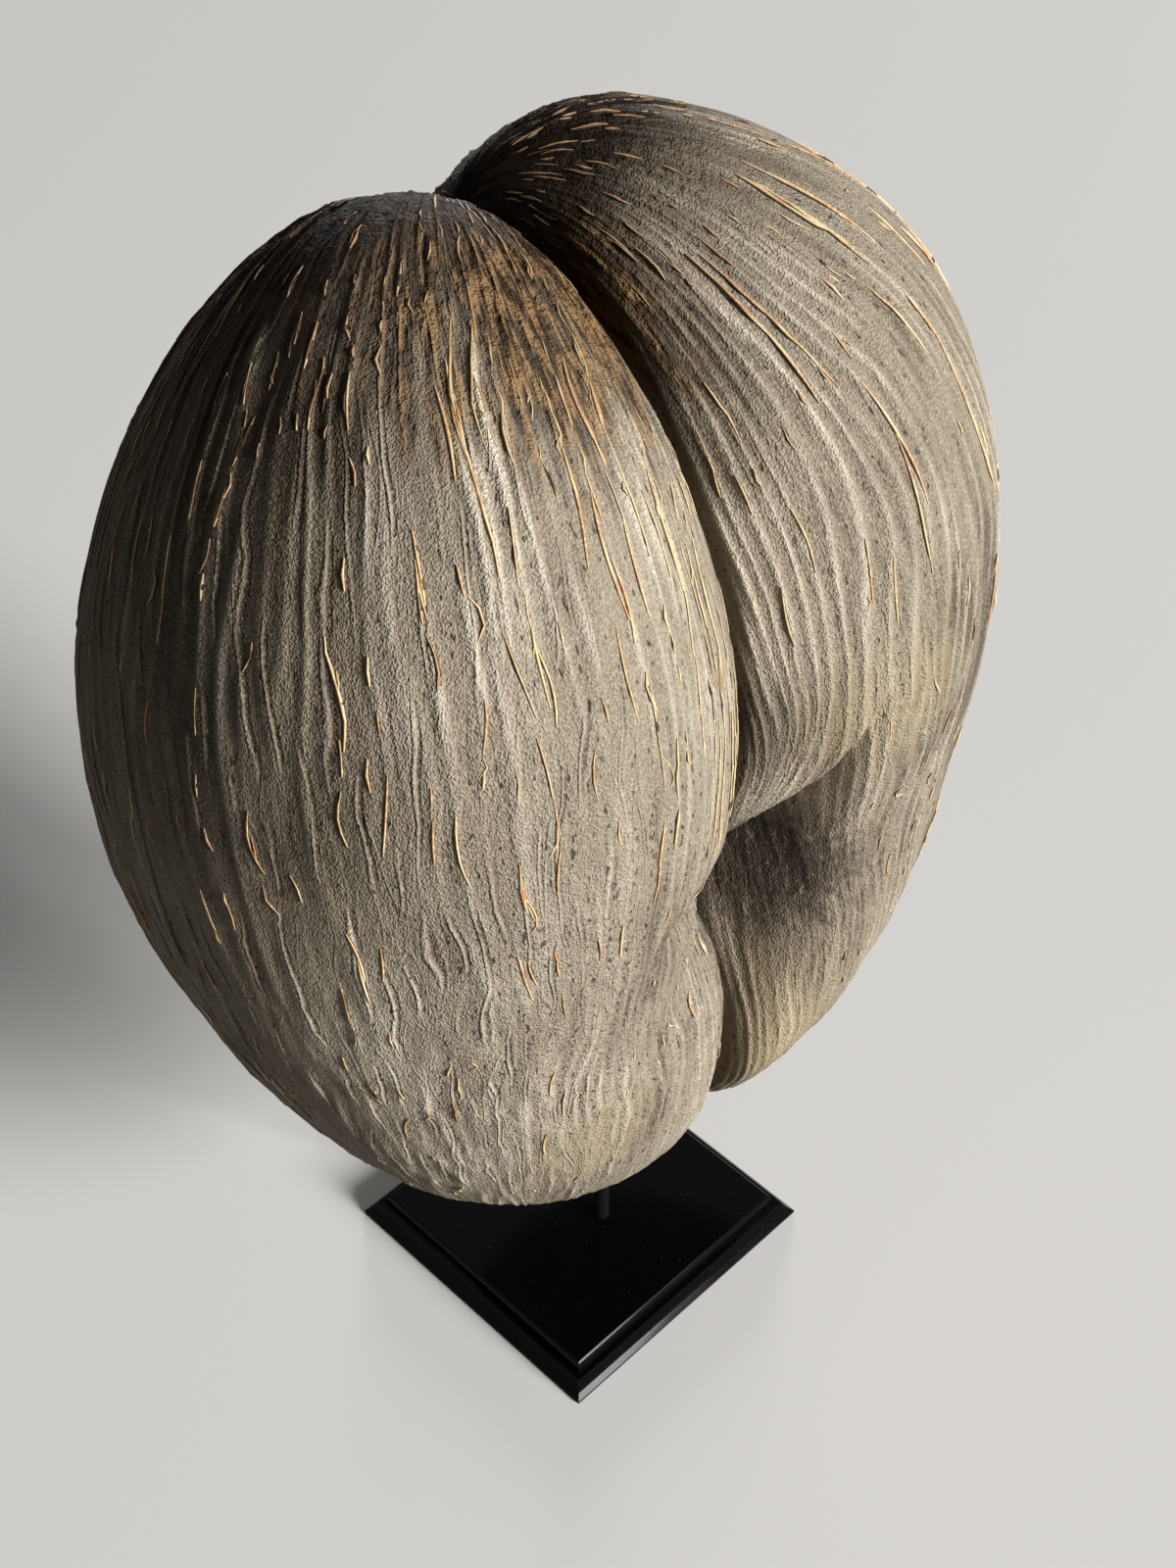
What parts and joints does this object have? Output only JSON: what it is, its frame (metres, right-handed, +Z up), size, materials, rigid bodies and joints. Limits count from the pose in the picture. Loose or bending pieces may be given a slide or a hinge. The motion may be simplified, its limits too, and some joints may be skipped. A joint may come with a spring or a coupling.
{
  "type": "coco de mer nut on a display stand",
  "caption": "Whole double-lobed palm nut with a deep cleft and a ridged fibrous husk, held upright by a thin rod on a small square plate with a moulded edge.",
  "frame": {"origin": "middle of the stand plate's flat underside", "axes": "+Z up, the two lobes lie along X, the deep cleft faces -Y and the broad back faces +Y"},
  "size_m": [0.248, 0.1775, 0.3706],
  "materials": {
    "husk": "dry grey-brown fibrous husk, ridged from top to tip, matt with a faint satin grain and fine golden fibres",
    "plate_lacquer": "polished black lacquer, mirror smooth on top with rounded arrises",
    "rod_steel": "satin black painted steel"
  },
  "bodies": {
    "root": {"nut": "husk", "stand_plate": "plate_lacquer", "stand_rod": "rod_steel"}
  },
  "joints": []
}
